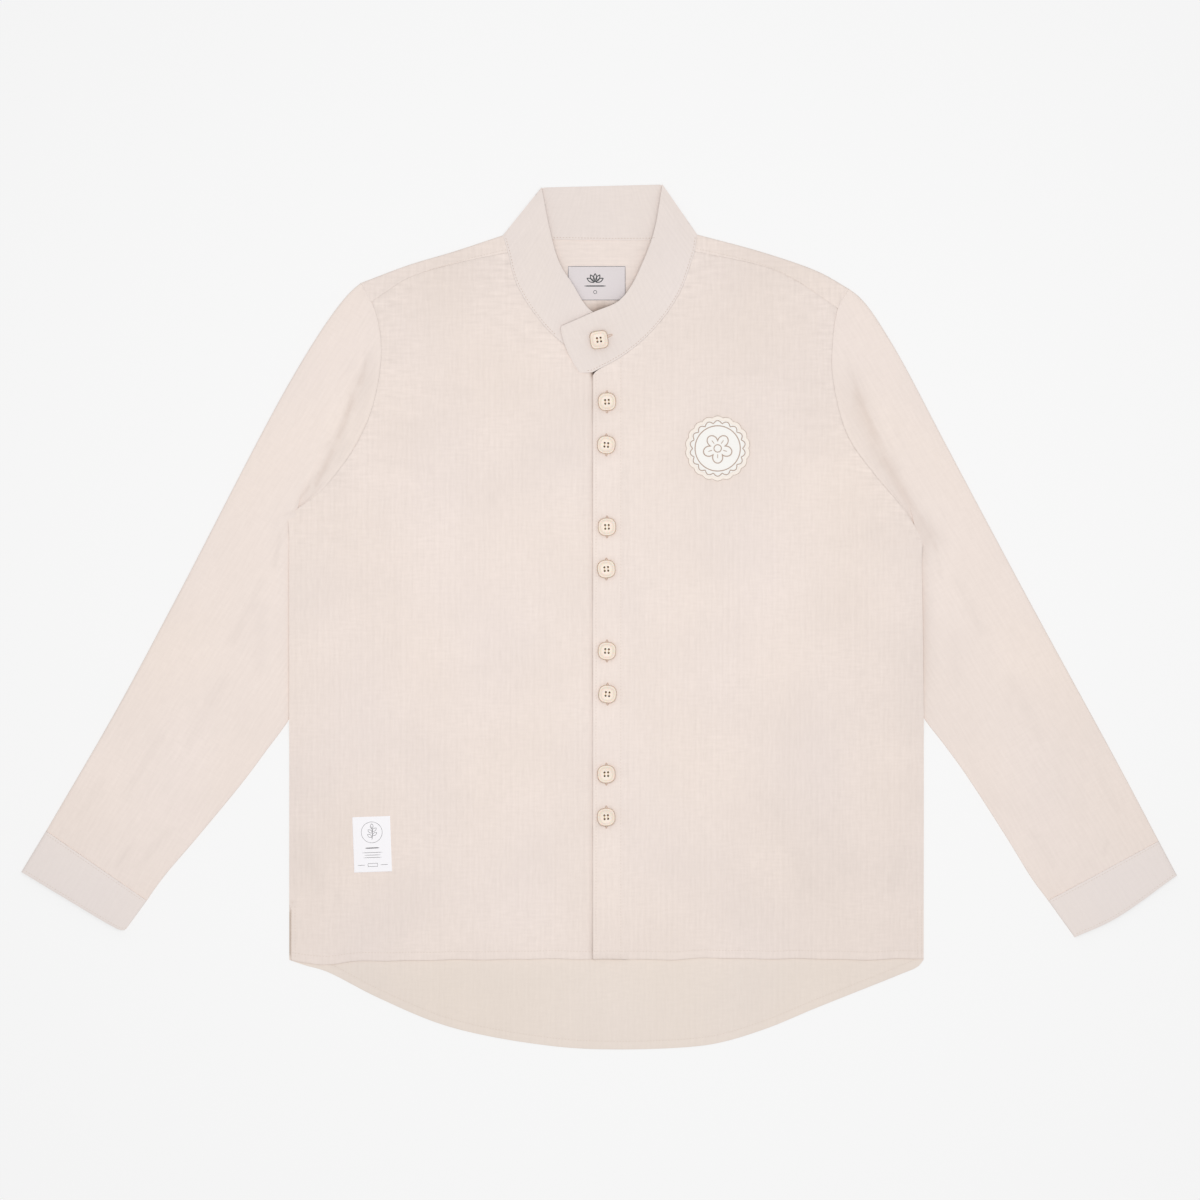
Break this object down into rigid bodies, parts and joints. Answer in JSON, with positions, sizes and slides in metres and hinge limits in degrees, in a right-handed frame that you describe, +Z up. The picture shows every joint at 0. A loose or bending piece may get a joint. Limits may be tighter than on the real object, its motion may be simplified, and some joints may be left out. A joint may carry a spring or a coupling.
{
  "type": "long-sleeved shirt laid flat",
  "caption": "Long-sleeved cotton shirt with an upright band collar and shirt-tail back, buttoned and laid flat, front side up.",
  "frame": {"origin": "on the surface that the shirt lies on, under the middle of its outline", "axes": "+Z up off the surface, +Y from the hem to the collar, +X to the wearer's left, across both sleeves"},
  "size_m": [1.0634, 0.7948, 0.0116],
  "materials": {
    "shirt_cotton": "matt slubbed cotton with a fine tonal vertical stripe",
    "button_resin": "satin cream resin",
    "patch_embroidery": "embroidered thread on twill",
    "hem_label_satin": "white woven satin with grey print",
    "neck_label_satin": "pale grey woven satin with grey print"
  },
  "bodies": {
    "root": {"back": "shirt_cotton", "yoke": "shirt_cotton", "front_right": "shirt_cotton", "front_left": "shirt_cotton", "sleeve_right": "shirt_cotton", "sleeve_left": "shirt_cotton", "cuff_right": "shirt_cotton", "cuff_left": "shirt_cotton", "collar": "shirt_cotton", "button_collar": "button_resin", "button_1": "button_resin", "button_2": "button_resin", "button_3": "button_resin", "button_4": "button_resin", "button_5": "button_resin", "button_6": "button_resin", "button_7": "button_resin", "button_8": "button_resin", "chest_patch": "patch_embroidery", "hem_label": "hem_label_satin", "neck_label": "neck_label_satin"}
  },
  "joints": []
}
